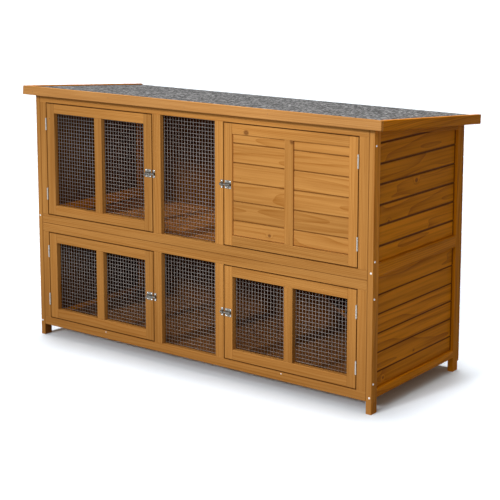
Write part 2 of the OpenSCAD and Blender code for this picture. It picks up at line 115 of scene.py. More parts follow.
def spot(name, description, default):
    """A place in the hutch's frame."""
    return FloatVectorProperty(
        name=name,
        description=description,
        default=default,
        size=3,
        subtype="TRANSLATION",
        unit="LENGTH",
    )


def turn(name, description, degrees):
    """An angle, given in degrees and kept in radians."""
    return FloatProperty(
        name=name,
        description=description,
        default=math.radians(degrees),
        subtype="ANGLE",
        unit="ROTATION",
    )


def strength(name, description, default):
    """A light's strength."""
    return FloatProperty(name=name, description=description, default=default, min=0.0)


class HutchSizes(bpy.types.PropertyGroup):
    """Sizes of the boards, the wood's figure, the mesh and the small parts."""

    first_board: length("First Board", "Height of the lowest board of a panel", 0.051)
    upper_course: length("Upper Course", "Cover width of the upper side boards", 0.0647)
    lower_course: length("Lower Course", "Cover width of the lower side boards", 0.0621)
    door_course: length("Door Course", "Cover width of the boards of the door", 0.0645)
    back_boards: IntProperty(
        name="Back Boards", description="Number of boards up the back", default=13, min=1
    )
    tongue_lap: length("Tongue Lap", "How far a tongue reaches into a board", 0.001)
    timber_edge: length("Timber Edge", "Rounding of the timber's edges", 0.0012)
    board_edge: length("Board Edge", "Rounding of the boards' edges", 0.0005)
    ring: length("Ring", "Width of a year's growth", 0.0052, 0.001)
    knot: length("Knot", "Radius of the largest knots", 0.006)
    back_knot: length("Back Knot", "Radius of the largest knots of the back", 0.010)
    knot_run: length("Knot Run", "Distance between two knots along the grain", 0.30, 0.05)
    knot_row: length("Knot Row", "Distance between two knots across the grain", 0.055, 0.01)
    ply: length("Ply", "Thickness of a ply of the plywood", 0.003, 0.001)
    mesh_pitch: length("Mesh Pitch", "Distance between two wires", 0.0127, 0.005)
    wire: length("Wire", "Diameter of a wire", 0.0011, 0.0004)
    staple: length("Staple", "Length of a staple's crown", 0.010)
    staple_wide: length("Staple Width", "Width of a staple's crown", 0.0013, 0.0008)
    staple_thick: length("Staple Thickness", "Thickness of a staple's crown", 0.0007, 0.0007)
    staple_gap: length("Staple Gap", "Distance between two staples", 0.085, 0.02)
    staple_inset: length("Staple Inset", "Distance of the staples from the sheet's edge", 0.006)
    nail: length("Nail", "Radius of a nail's head", 0.0026)
    nail_high: length("Nail Height", "Height of a nail's head", 0.0006)
    fascia: length("Fascia", "Thickness of the roof's front edge board", 0.015)


class HutchColours(bpy.types.PropertyGroup):
    """Colours of the stain, the felt and the metal, and of the painted shade."""

    frame_light: colour("Frame Light", "Pale rings of the frames", (0.515, 0.247, 0.066))
    frame_dark: colour("Frame Dark", "Dark rings of the frames", (0.325, 0.120, 0.018))
    edge_light: colour("Fascia Light", "Pale rings of the roof edge", (0.520, 0.260, 0.084))
    edge_dark: colour("Fascia Dark", "Dark rings of the roof edge", (0.360, 0.150, 0.034))
    # More saturated stain of the boards. The pieces that face the sides and the back take it, so it
    # partly paints the richer colour of the shade on those faces
    board_light: colour("Board Light", "Pale rings of the boards", (0.680, 0.238, 0.003))
    board_dark: colour("Board Dark", "Dark rings of the boards", (0.310, 0.086, 0.0012))
    # The tongues are painted with the dark of the joints and the inside, as shade in the joints
    tongue_light: colour("Tongue Light", "Pale rings of the tongues", (0.120, 0.036, 0.003))
    tongue_dark: colour("Tongue Dark", "Dark rings of the tongues", (0.055, 0.018, 0.006))
    knot: colour("Knot", "Heart of a knot", (0.120, 0.038, 0.010))
    # Dark stain and painted shade in the board joints, and painted shade in the gaps and seams of the
    # frames
    joint: colour("Joint", "Joints and gaps", (0.120, 0.036, 0.003))
    # Painted shade on the inner faces of the boards
    inside: colour("Inside", "Inner faces of the boards", (0.055, 0.018, 0.006))
    ply_light: colour("Plywood Light", "Pale veneer", (0.600, 0.225, 0.038))
    ply_dark: colour("Plywood Dark", "Dark veneer", (0.320, 0.105, 0.014))
    felt: colour("Felt", "Mineral granules of the roof", (0.055, 0.055, 0.057))
    felt_pale: colour("Pale Granules", "Palest granules of the roof", (0.400, 0.400, 0.390))
    felt_worn: colour("Worn Felt", "Bitumen where granules are lost", (0.035, 0.034, 0.033))
    zinc: colour("Zinc", "Zinc plate of the bolts", (0.210, 0.195, 0.172))
    hinge: colour("Hinge", "Duller zinc of the hinges", (0.440, 0.415, 0.380))
    steel: colour("Steel", "Polished screw heads", (0.800, 0.800, 0.790))
    nail: colour("Nail", "Stained nail heads", (0.400, 0.190, 0.055))
    galvanised: colour("Galvanised", "Dull wire", (0.330, 0.300, 0.285))
    floor: colour("Floor", "Studio floor", (0.850, 0.920, 1.000))


class HutchStudio(bpy.types.PropertyGroup):
    """Lights and camera of the studio."""

    key: strength("Key", "Strength of the front light", 1.70)
    key_place: spot("Key Place", "Where the front light shines from", (-0.6, -3.2, 1.5))
    key_spread: turn("Key Spread", "Width of the front light in the sky", 7)
    fill: strength("Fill", "Power of the panel in front", 16.0)
    fill_place: spot("Fill Place", "Where the panel stands", (0.9, -1.75, 1.45))
    fill_size: length("Fill Size", "Side of the panel", 1.0, 0.1)
    top: strength("Top", "Strength of the light above", 3.1)
    top_place: spot("Top Place", "Where the light above shines from", (-0.5, 0.5, 6.5))
    top_spread: turn("Top Spread", "Width of the light above in the sky", 18)
    room: strength("Room", "Strength of the light all round", 0.24)
    room_tint: colour("Room Tint", "Colour of the light all round", (1.0, 0.90, 0.76))
    backdrop: strength("Backdrop", "Brightness of the room to the eye", 1.1)
    shine: strength("Shine", "Share of the backdrop that the metal mirrors", 0.6)
    eye: spot("Eye", "Place of the camera", (2.8736, -3.7791, 1.5091))
    tilt: turn("Tilt", "How far the camera looks down", 9.315)
    heading: turn("Heading", "Turn of the camera to the left", 36.936)
    lens: FloatProperty(
        name="Lens", description="Focal length", default=98.37, min=1.0, unit="CAMERA"
    )
    rise: FloatProperty(name="Rise", description="Vertical shift of the camera", default=-0.2)


def sizes():
    """The sizes that the operators read."""
    return bpy.context.scene.hutch_sizes


def colours():
    """The colours that the operators read."""
    return bpy.context.scene.hutch_colours


def tints(wood):
    """The pale and the dark colour of a wood: frame, edge, board, tongue or ply."""
    return getattr(colours(), wood + "_light"), getattr(colours(), wood + "_dark")


# Shader nodes


class Wire:
    """One output of a shader node, with the arithmetic that its users need."""

    def __init__(self, finish, socket):
        self.finish = finish
        self.socket = socket

    def math(self, operation, *others):
        return self.finish.math(operation, self, *others)

    def size(self):
        """Its distance from 0."""
        return self.math("ABSOLUTE")

    def also(self, out):
        """Another output of the same node."""
        return Wire(self.finish, self.socket.node.outputs[out])

    def __add__(self, other):
        return self.math("ADD", other)

    def __sub__(self, other):
        return self.math("SUBTRACT", other)

    def __rsub__(self, other):
        return self.finish.math("SUBTRACT", other, self)

    def __mul__(self, other):
        return self.math("MULTIPLY", other)

    def __truediv__(self, other):
        return self.math("DIVIDE", other)

    __radd__ = __add__
    __rmul__ = __mul__


class Finish:
    """A material that is built one node at a time."""

    def __init__(self, name):
        self.material = bpy.data.materials.new(name)
        self.material.use_nodes = True
        self.tree = self.material.node_tree
        self.tree.nodes.clear()

    def node(self, kind, settings=(), sockets=(), out=0):
        """Adds a node: its settings first, then the values or links of its sockets."""
        node = self.tree.nodes.new(kind)
        for name, value in dict(settings).items():
            setattr(node, name, value)
        for key, value in dict(sockets).items():
            if isinstance(value, Wire):
                self.tree.links.new(value.socket, node.inputs[key])
            else:
                node.inputs[key].default_value = value
        return Wire(self, node.outputs[out])

    def math(self, operation, *values):
        return self.node("ShaderNodeMath", {"operation": operation}, enumerate(values))

    def split(self, vector):
        """The three parts of a vector."""
        first = self.node("ShaderNodeSeparateXYZ", (), {0: vector})
        return [Wire(self, out) for out in first.socket.node.outputs]

    def join(self, x, y, z=0.0):
        return self.node("ShaderNodeCombineXYZ", (), {0: x, 1: y, 2: z})

    def place(self):
        """The point on the surface, in the hutch's own frame."""
        return self.node("ShaderNodeTexCoord", out="Object")

    def noise(self, vector, scale=1.0, detail=2.0, rough=0.5):
        return self.node(
            "ShaderNodeTexNoise",
            {"noise_dimensions": "3D"},
            {"Vector": vector, "Scale": scale, "Detail": detail, "Roughness": rough},
        )

    def cells(self, vector, scale, out, spread=1.0, flat=False):
        """Cells round scattered points: their distance, place or colour."""
        settings = {"voronoi_dimensions": "2D" if flat else "3D"}
        sockets = {"Vector": vector, "Scale": scale, "Randomness": spread}
        return self.node("ShaderNodeTexVoronoi", settings, sockets, out)

    def chance(self, value):
        """The same random number wherever the value is the same."""
        settings = {"noise_dimensions": "1D"}
        return self.node("ShaderNodeTexWhiteNoise", settings, {"W": value}, "Value")

    def ease(self, value, low, high):
        """0 on the side of low and 1 on the side of high, with a soft step between them."""
        return self.node(
            "ShaderNodeMapRange",
            {"interpolation_type": "SMOOTHSTEP"},
            {"Value": value, "From Min": low, "From Max": high},
        )

    def pick(self, factor, low, high):
        """A number between low and high."""
        return self.node(
            "ShaderNodeMix", {"data_type": "FLOAT"}, {0: factor, 2: low, 3: high}
        )

    def blend(self, factor, low, high):
        """A colour between low and high."""
        sockets = {0: factor, 6: self.rgba(low), 7: self.rgba(high)}
        return self.node("ShaderNodeMix", {"data_type": "RGBA"}, sockets, 2)

    @staticmethod
    def rgba(value):
        return value if isinstance(value, Wire) else tuple(value) + (1.0,)

    def scaled(self, tint, amount):
        """A colour made lighter or darker."""
        return self.node(
            "ShaderNodeVectorMath", {"operation": "SCALE"}, {0: tint, "Scale": amount}
        )

    def relief(self, height, depth, strength):
        """The normal of a surface with that height, where 1 stands depth metres up."""
        return self.node(
            "ShaderNodeBump", (), {"Height": height, "Distance": depth, "Strength": strength}
        )

    def surface(self, **sockets):
        """Joins the values to a Principled shader and to the output."""
        sockets = {name.replace("_", " "): value for name, value in sockets.items()}
        shader = self.node("ShaderNodeBsdfPrincipled", (), sockets)
        output = self.tree.nodes.new("ShaderNodeOutputMaterial")
        self.tree.links.new(shader.socket, output.inputs["Surface"])
        return self.material


# Finishes

# Where a painted shade begins and where it is full, in metres; the flank's is painted light
JOINT_SHADE = (0.0040, 0.0012)  # dark stain and painted shade, from the joint between two boards
JOINT_DEPTH = (0.0034, 0.0026)  # below the outer face of the boards
INNER_SIDE = (0.0050, 0.0070)  # painted shade of the inner side, below the outer face of the boards
END_SHADE = (0.0110, 0.0040)  # painted shadow in the recess, from the end of a board beside a post
GAP_SHADE = (0.0030, 0.0015)  # painted shade, from the middle of the gap round a door
FLANK_TINT_AND_LIGHT = (-0.0008, 0.0)  # board tint and painted light, past the outer sides of the posts
LOW_PAINTED_SHADE = (0.45, 0.0)  # painted shade, above the ground

HALF_GAP = 0.001
SEAM = 0.0014  # how much fainter the painted shade of a closed seam is than that of the gap round a door, as a distance

HEART = (0.021, 0.035)  # how far a piece's heart lies below its middle and behind its face
WANDER = 0.034  # how far the rings wander
SWIRL = 0.004  # how far they bend round a knot
NEXT_BAND = 40.0  # between the numbers of the boards of one band and the next
NEXT_WALL = 50.0  # between the numbers of two walls that are a metre apart
OFF_CUT = (7.3, 0.06)  # how far the cuts of two boards may differ along and across the grain


class Boards:
    """A wall of boards.

    bands are its courses, from the lowest up, each as (start, pitch, height where it begins).
    outer is the distance of its outer face from the middle of the hutch. joint and inside say
    how dark its joints are, in stain and painted shade, and how dark the painted shade of its
    inner side is, and ends where its boards end beside the posts, under a painted shadow.
    """

    def __init__(self, bands, outer, joint, inside=0.9, ends=()):
        self.bands = bands
        self.outer = outer
        self.joint = joint
        self.inside = inside
        self.ends = ends


def grain_axes(finish, grain):
    """The point's places along the grain, across the face and through the piece."""
    x, y, z = finish.split(finish.place())
    return {"X": (x, z, y), "Y": (y, z, x), "Z": (z, x, y), "F": (x, y, z)}[grain]


def drawn_out(finish, axes, along, across, detail, rough=0.5):
    """Noise that is drawn out along the grain, by its rates per metre."""
    place = finish.join(axes[0] * along, axes[1] * across, axes[2] * across)
    return finish.noise(place, 1.0, detail, rough)


def courses(finish, across, bands):
    """Number of the board at that height, and the height from its middle."""
    number, local = None, None
    for start, pitch, begins in bands:
        step = (across - start) / pitch
        row = step.math("FLOOR")
        place = (step - row - 0.5) * pitch
        if number is None:
            number, local = row, place
        else:
            above = across.math("GREATER_THAN", begins)
            number = finish.pick(above, number, row + NEXT_BAND)
            local = finish.pick(above, local, place)
    return number, local


def knots(finish, along, across, rare, size):
    """Distance to the nearest knot, in knot radii, and how much the rings bend round it."""
    run, row = sizes().knot_run, sizes().knot_row
    near = finish.cells(finish.join(along / run, across / row), 1.0, "Position", 0.8, flat=True)
    lot = finish.split(near.also("Color"))[0]
    knot_x, knot_y, _ = finish.split(near)
    dx = (along / run - knot_x) * run
    dy = (across / row - knot_y) * row
    away = (dx * dx * 0.7 + dy * dy).math("SQRT")
    radius = finish.ease(lot, rare, 1.0) * size + 0.0001
    return away / radius, finish.ease(away / radius, 4.5, 1.0)


def frame_joints(finish):
    """Painted shade: 1 in the gaps round the doors, fainter at the seams of the frames, 0 elsewhere."""
    x, _, z = finish.split(finish.place())
    tier = (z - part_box("lower_frame_rails")[1].z).size()
    beyond = x.size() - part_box("upper_frame_rails")[1].x
    away = tier.math("MAXIMUM", beyond).math("MINIMUM", beyond.size()) + SEAM
    for door in DOORS:
        (low, high), (left, right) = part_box(f"{door}_door_rails"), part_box(f"{door}_door_stiles")
        low_x, high_x = min(low.x, left.x), max(high.x, right.x)
        low_z, high_z = min(low.z, left.z), max(high.z, right.z)
        out_x = (x - (low_x + high_x) / 2).size() - (high_x - low_x) / 2
        out_z = (z - (low_z + high_z) / 2).size() - (high_z - low_z) / 2
        gap = (out_x.math("MAXIMUM", out_z) - HALF_GAP).size()
        away = gap.math("MINIMUM", away)
    return finish.ease(away, *GAP_SHADE)


def board_shades(finish, boards, along, local, depth):
    """How much of the joints' dark stain and painted shade, of the painted shadow beside the posts and
    of the inner side's painted shade lies on a wall of boards.
    """
    half = boards.bands[0][1] / 2
    sunk = (depth.size() - boards.outer).size()
    groove = finish.ease(half - local.size(), *JOINT_SHADE) * finish.ease(sunk, *JOINT_DEPTH)
    # Painted shadow in the recess where the boards end beside the posts
    if boards.ends:
        first, last = boards.ends
        to_end = (last - first) / 2 - (along - (first + last) / 2).size()
        groove = groove.math("MAXIMUM", finish.ease(to_end, *END_SHADE))
    return groove * boards.joint, finish.ease(sunk, *INNER_SIDE) * boards.inside


def stained_wood(name, grain, wood, boards=None, rare=0.88, knot=0.0, flank=0.0, frame=False):
    """Stained pine with rings, fibres and knots, which are the rarer the nearer rare is to 1.

    Boards each get their own cut and tint, with dark joints between them, partly stain and partly
    painted shade, a painted shadow beside the posts and painted shade on their inner side. Past the
    flank distance from the middle of the hutch, the stain is nearly as deep as on the side boards and
    the face is painted lighter, as if lit more. A frame has painted shade in the gaps where the doors
    close and at its seams, and painted shade that darkens it towards the ground.
    """
    finish = Finish(name)
    light, dark = tints(wood)
    along, across, depth = grain_axes(finish, grain)
    tint = finish.ease(drawn_out(finish, (along, across, depth), 0.7, 9.0, 1.0), 0.3, 0.7)
    if boards:
        number, local = courses(finish, across, boards.bands)
        lot = finish.chance(number + boards.outer * NEXT_WALL)
        tint = tint * 0.35 + lot * 0.65
        groove, inner = board_shades(finish, boards, along, local, depth)
        along = along + lot * OFF_CUT[0]
        across = local + (lot - 0.5) * OFF_CUT[1]
    axes = (along, across, depth)

    # The rings run round a heart that lies below the face and behind it, and bend round the knots
    off, swirl = knots(finish, along, across + depth, rare, knot or sizes().knot)
    bend = drawn_out(finish, axes, 1.3, 8.0, 2.0) - 0.5
    below, behind = across + HEART[0], depth - HEART[1]
    round_heart = (below * below + behind * behind * 0.35).math("SQRT")
    ring = ((round_heart + bend * WANDER + swirl * SWIRL) / sizes().ring).math("FRACT")
    late = ring * ring * ring
    streak = finish.ease(drawn_out(finish, axes, 2.6, 110.0, 3.0, 0.6), 0.34, 0.72)
    fibre = drawn_out(finish, axes, 28.0, 1100.0, 2.0)
    figure = late * 0.5 + streak * 0.42

    body = finish.blend(figure, light, dark)
    if flank:
        # The outer side faces take the side boards' colour and are painted lighter, as if lit more
        past = finish.split(finish.place())[0].size() - flank
        side = finish.ease(past, *FLANK_TINT_AND_LIGHT)
        body = finish.blend(side * 0.6, body, finish.blend(figure, *tints("board")))
        body = finish.scaled(body, 1.0 + side * 0.32)
    body = finish.scaled(body, 0.84 + tint * 0.26 + fibre * 0.12 - streak * 0.03)
    rim = finish.ease(off, 2.0, 0.7) * (1.0 - finish.ease(off, 0.7, 0.2) * 0.15)
    body = finish.blend(rim * 0.75, body, colours().knot)
    # Dark joints, partly stain and partly painted shade, then painted shade on the inner side
    if boards:
        body = finish.blend(groove, body, colours().joint)
        body = finish.blend(inner, body, colours().inside)
    if frame:
        # Painted shade: darker and richer towards the ground
        low = finish.ease(finish.split(finish.place())[2], *LOW_PAINTED_SHADE)
        body = finish.blend(low * 0.30, body, dark)
        body = finish.scaled(body, 1.0 - low * 0.10)
        # Painted shade in the gaps round the doors and at the seams of the frames
        body = finish.blend(frame_joints(finish) * 0.85, body, colours().joint)
    return finish.surface(
        Base_Color=body,
        Roughness=0.46 + fibre * 0.16 + streak * 0.06,
        Specular_IOR_Level=0.05,
        Normal=finish.relief(fibre * 0.5 + late * 0.35 - rim * 0.5, 0.00035, 0.7),
    )


def veneer(name, grain, tone=1.0):
    """Stained plywood: broad rotary-cut figure on the faces and plies on the edges."""
    finish = Finish(name)
    along, across, depth = grain_axes(finish, grain)
    place = finish.join(along * 2.2, across * 16.0, depth * 3.0)
    figure = finish.noise(place, 1.0, 3.0, 0.55)
    rings = (figure * 9.0).math("FRACT")
    rings = finish.ease(rings, 0.2, 0.9) * (1.0 - finish.ease(rings, 0.9, 1.0))
    fibre = drawn_out(finish, (along, across, depth), 30.0, 700.0, 2.0)
    ply = ((depth / sizes().ply).math("FRACT") - 0.5).size() * 2.0
    body = finish.blend(rings * 0.45 + fibre * 0.25, *tints("ply"))
    body = finish.scaled(body, (0.84 + ply * 0.10 + figure * 0.14) * tone)
    return finish.surface(
        Base_Color=body,
        Roughness=0.58 + fibre * 0.15,
        Normal=finish.relief(fibre + rings * 0.3, 0.0003, 0.6),
    )


def mineral_felt(name):
    """Bitumen felt under stone granules, with flecks, a soft mottle and a few worn spots."""
    finish = Finish(name)
    place = finish.place()
    x, y, z = finish.split(place)
    grit = finish.cells(place, 300.0, "Distance")
    lot = finish.split(grit.also("Color"))
    fleck = finish.split(finish.cells(finish.join(x, y * 0.38, z), 200.0, "Color"))[2]
    mottle = finish.ease(finish.noise(place, 9.0, 4.0, 0.6), 0.3, 0.72)
    clump = finish.ease(finish.noise(place, 120.0, 3.0, 0.65), 0.32, 0.72)
    shade = lot[0] * 0.6 + fleck * fleck * 7.0 + mottle * 0.12 + clump * 0.40 - 1.6
    body = finish.scaled(tuple(colours().felt), shade.math("MAXIMUM", 0.2))
    pale = finish.ease(fleck, 0.80, 0.95) * finish.ease(lot[1], 0.45, 0.65)
    body = finish.blend(pale * 0.6, body, colours().felt_pale)
    wear_and_shade = finish.ease(finish.noise(place, 45.0, 2.0), 0.70, 0.78)
    body = finish.blend(wear_and_shade * 0.45, body, colours().felt_worn)
    return finish.surface(
        Base_Color=body,
        Roughness=0.86 - wear_and_shade * 0.15,
        Normal=finish.relief(clump * 0.6 - grit * 0.8 + mottle * 0.5, 0.0009, 0.8),
    )


def plated(name, tint, rough, spangle, metal=1.0):
    """Metal plate with a faint spangle, rubbed patches and fine scratches."""
    finish = Finish(name)
    place = finish.place()
    lot = finish.split(finish.cells(place, spangle, "Color"))[0]
    patch = finish.noise(place, 160.0, 3.0)
    x, y, z = finish.split(place)
    scratch = finish.noise(finish.join(x * 2400.0, y * 2400.0, z * 90.0), 1.0, 1.0)
    scratch = finish.ease(scratch, 0.62, 0.75)
    body = finish.scaled(tuple(tint), 0.80 + lot * 0.16 + patch * 0.14)
    return finish.surface(
        Base_Color=body,
        Metallic=metal,
        Roughness=rough + lot * 0.10 + patch * 0.12 + scratch * 0.08,
        Normal=finish.relief(patch * 0.6 - scratch * 0.4, 0.00006, 0.5),
    )


def studio_paper(name):
    """Pale paper for the floor, with a very soft tooth."""
    finish = Finish(name)
    tooth = finish.noise(finish.place(), 40.0, 2.0)
    body = finish.scaled(tuple(colours().floor), 0.985 + tooth * 0.03)
    return finish.surface(Base_Color=body, Roughness=0.9, Specular_IOR_Level=0.1)


# Pieces

WELD = 0.00002  # corners nearer to each other than this are one
SOFT_ANGLE = math.radians(35)  # edges that turn more than this are rounded
WIRE_SIDES = 8
HEAD_SIDES = 16
HEAD_TURNS = (0.37, 1.3)  # of the first screw, and from each screw to the next
RECESS = (0.1, 0.6, 0.55)  # middle and arms of the cross, and its depth, as shares of the head
SHOULDER = 0.0003  # rounding of a staple's crown
STAPLE_PROUD = 0.0001  # how far a crown stands out of the sheet
NAIL_PLACES = (0.05, 0.42)  # from either end of the front roof edge
NAIL_OFF = (-0.003, 0.002)  # from the middle of the board, by turns
NAIL_OUT = 0.00005  # from the wood to the middle of a nail head's thickness
NAIL_TAPER = 0.92  # a nail head's outer radius, as a share of the radius at the wood


def coat(names, material):
    """Gives CAD nodes their finish."""
    for name in names:
        mesh = NODES[name].data
        mesh.materials.clear()
        mesh.materials.append(material)


def soften(names, width, segments=2):
    """Rounds the edges of CAD nodes; their meshes stay as packed."""
    for name in names:
        piece = NODES[name]
        weld = piece.modifiers.new("Weld", "WELD")
        weld.merge_threshold = WELD
        bevel = piece.modifiers.new("Edges", "BEVEL")
        bevel.width = width
        bevel.segments = segments
        bevel.limit_method = "ANGLE"
        bevel.angle_limit = SOFT_ANGLE
        bevel.use_clamp_overlap = True


def solids(node):
    """(lowest corner, highest corner) of each solid of a CAD node."""
    bm = bmesh.new()
    bm.from_mesh(NODES[node].data)
    bmesh.ops.remove_doubles(bm, verts=bm.verts, dist=WELD)
    left = set(bm.verts)
    found = []
    while left:
        edge = [left.pop()]
        island = list(edge)
        while edge:
            near = {e.other_vert(v) for v in edge for e in v.link_edges} & left
            left -= near
            island += near
            edge = list(near)
        points = [v.co for v in island]
        low = Vector(min(p[i] for p in points) for i in range(3))
        high = Vector(max(p[i] for p in points) for i in range(3))
        found.append((low, high))
    bm.free()
    return sorted(found, key=lambda pair: tuple(pair[0]))


def add_block(bm, low, high):
    """A box between two corners."""
    place = Matrix.Translation((low + high) / 2) @ Matrix.Diagonal((*(high - low), 1.0))
    bmesh.ops.create_cube(bm, size=1.0, matrix=place)


def piece_from(bm, name, material, body, replaced=()):
    """Turns a bmesh into a piece that rides on a body."""
    mesh = bpy.data.meshes.new(name)
    bm.to_mesh(mesh)
    bm.free()
    mesh.materials.append(material)
    piece = bpy.data.objects.new(name, mesh)
    bpy.context.scene.collection.objects.link(piece)
    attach(piece, body)
    if replaced:
        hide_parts(*replaced)
    return piece


def tongues(node, body, through, material):
    """Tongues that close the joints between the boards, hidden in the middle of their thickness."""
    boards = sorted(solids(node), key=lambda pair: pair[0].z)
    lap = sizes().tongue_lap
    bm = bmesh.new()
    for (_, below), (low, high) in zip(boards, boards[1:]):
        if low.z - below.z > 2 * lap:
            continue
        start, end = low.copy(), high.copy()
        third = (high[through] - low[through]) / 3
        start[through] += third
        end[through] -= third
        start.z, end.z = below.z - lap, low.z + lap
        add_block(bm, start, end)
    return piece_from(bm, node + "_tongues", material, body)


def add_wire(bm, middle, axis, run, radius):
    """One straight wire of the mesh, along X or Z."""
    turn = Matrix.Rotation(math.pi / 2, 4, "Y") if axis == "X" else Matrix.Identity(4)
    bmesh.ops.create_cone(
        bm,
        cap_ends=True,
        segments=WIRE_SIDES,
        radius1=radius,
        radius2=radius,
        depth=run,
        matrix=Matrix.Translation(middle) @ turn,
    )


def wire_sheet(node, body, material):
    """A welded sheet: upright wires in front, level wires behind, fused where they cross."""
    low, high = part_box(node)
    radius = sizes().wire / 2
    pitch = sizes().mesh_pitch
    middle = (low + high) / 2
    wide, _, tall = high - low
    bm = bmesh.new()
    for axis, run, span, y, step in (
        ("Z", tall, wide, low.y + radius, Vector((pitch, 0, 0))),
        ("X", wide, tall, high.y - radius, Vector((0, 0, pitch))),
    ):
        count = int((span - 2 * radius) / pitch)
        for i in range(count + 1):
            at = Vector((middle.x, y, middle.z)) + step * (i - count / 2)
            add_wire(bm, at, axis, run, radius)
    for face in bm.faces:
        face.smooth = len(face.verts) == 4
    return piece_from(bm, node + "_wires", material, body, (node,))


def add_staple(bm, at, upright):
    """A staple's crown with rounded shoulders, pressed onto the mesh."""
    wide, thick, long = sizes().staple_wide, sizes().staple_thick, sizes().staple
    new = bmesh.ops.create_cube(bm, size=1.0)["verts"]
    size = (wide, thick, long) if upright else (long, thick, wide)
    bmesh.ops.scale(bm, vec=size, verts=new)
    edges = list({e for v in new for e in v.link_edges})
    bent = bmesh.ops.bevel(
        bm,
        geom=edges,
        offset=SHOULDER,
        offset_type="OFFSET",
        affect="EDGES",
        segments=1,
        profile=0.5,
        material=-1,
    )
    bmesh.ops.translate(bm, vec=at, verts=list(set(bent["verts"])))


def staples(node, body, material):
    """Staples round the edge of a sheet, on the inner side of its frame."""
    low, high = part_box(node)
    inset = sizes().staple_inset
    y = high.y + STAPLE_PROUD - sizes().staple_thick / 2
    bm = bmesh.new()
    wide, tall = high.x - low.x, high.z - low.z
    across = max(2, round(wide / sizes().staple_gap))
    up = max(2, round(tall / sizes().staple_gap))
    for i in range(across):
        x = low.x + wide * (i + 0.5) / across
        for z in (low.z + inset, high.z - inset):
            add_staple(bm, Vector((x, y, z)), False)
    for i in range(up):
        z = low.z + tall * (i + 0.5) / up
        for x in (low.x + inset, high.x - inset):
            add_staple(bm, Vector((x, y, z)), True)
    return piece_from(bm, node + "_staples", material, body)


def cross_head(radius, height):
    """A domed screw head with a cross recess, standing up Z from its base at the origin."""
    bm = bmesh.new()
    # From the middle outwards, as shares of the radius and the height
    profile = [(0.14, 1.0), (0.32, 0.98), (0.58, 0.86), (0.86, 0.52), (1.0, 0.18), (1.0, 0.0)]
    chain = [bm.verts.new((r * radius, 0.0, h * height)) for r, h in profile]
    edges = [bm.edges.new(pair) for pair in zip(chain, chain[1:])]
    bmesh.ops.spin(
        bm,
        geom=chain + edges,
        cent=(0, 0, 0),
        axis=(0, 0, 1),
        angle=math.tau,
        steps=HEAD_SIDES,
        use_merge=True,
    )
    rims = [e for e in bm.edges if e.is_boundary]
    bmesh.ops.holes_fill(bm, edges=rims, sides=HEAD_SIDES)
    bmesh.ops.recalc_face_normals(bm, faces=bm.faces)
    centre, arms, depth = RECESS

    def in_cross(face):
        middle = face.calc_center_median()
        out = math.hypot(middle.x, middle.y) / radius
        quarter = math.atan2(middle.y, middle.x) / (math.tau / HEAD_SIDES) % 4
        return middle.z > 0.5 * height and (out < centre or (out < arms and quarter < 1))

    region = [f for f in bm.faces if in_cross(f)]
    sunk = bmesh.ops.extrude_face_region(bm, geom=region)
    bmesh.ops.delete(bm, geom=region, context="FACES_KEEP_BOUNDARY")
    floor = [v for v in sunk["geom"] if isinstance(v, bmesh.types.BMVert)]
    bmesh.ops.translate(bm, vec=(0, 0, -depth * height), verts=floor)
    return bm


def heads(name, nodes, body, material):
    """Cross-headed screws in the places of the CAD heads, each turned its own way."""
    first, step = HEAD_TURNS
    whole = bmesh.new()
    for node in nodes:
        for i, (low, high) in enumerate(solids(node)):
            head = cross_head((high.x - low.x) / 2, high.y - low.y)
            at = Vector(((low.x + high.x) / 2, high.y, (low.z + high.z) / 2))
            turn = Matrix.Rotation(first + step * i, 4, "Z")
            head.transform(Matrix.Translation(at) @ TO_FRONT @ turn)
            part = bpy.data.meshes.new("part")
            head.to_mesh(part)
            head.free()
            whole.from_mesh(part)
            bpy.data.meshes.remove(part)
    return piece_from(whole, name, material, body, nodes)


def nail_heads(material):
    """Flat nail heads along the sloping face of the front roof edge, just proud of the wood."""
    low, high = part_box("front_fascia")
    size = sizes()
    near, far = NAIL_PLACES
    tilt = math.atan2(high.y - low.y - size.fascia, high.z - low.z)
    places = [low.x + near, low.x + far, (low.x + high.x) / 2, high.x - far, high.x - near]
    bm = bmesh.new()
    for i, x in enumerate(places):
        new = bmesh.ops.create_cone(
            bm,
            cap_ends=True,
            segments=HEAD_SIDES,
            radius1=size.nail,
            radius2=size.nail * NAIL_TAPER,
            depth=size.nail_high,
        )["verts"]
        z = (low.z + high.z) / 2 + NAIL_OFF[i % 2]
        y = low.y + (z - low.z) * math.tan(tilt) + NAIL_OUT
        place = Matrix.Translation((x, y, z)) @ Matrix.Rotation(-tilt, 4, "X") @ TO_FRONT
        bmesh.ops.transform(bm, matrix=place, verts=new)
    return piece_from(bm, "fascia_nails", material, "hutch")


# Operators

FLOOR_RADIUS = 40.0
FAR_END = 200.0  # how far the camera sees
SHADED_PLY = 0.42  # share of its brightness that the plywood of the lower tier and the ramp keeps, as painted shade
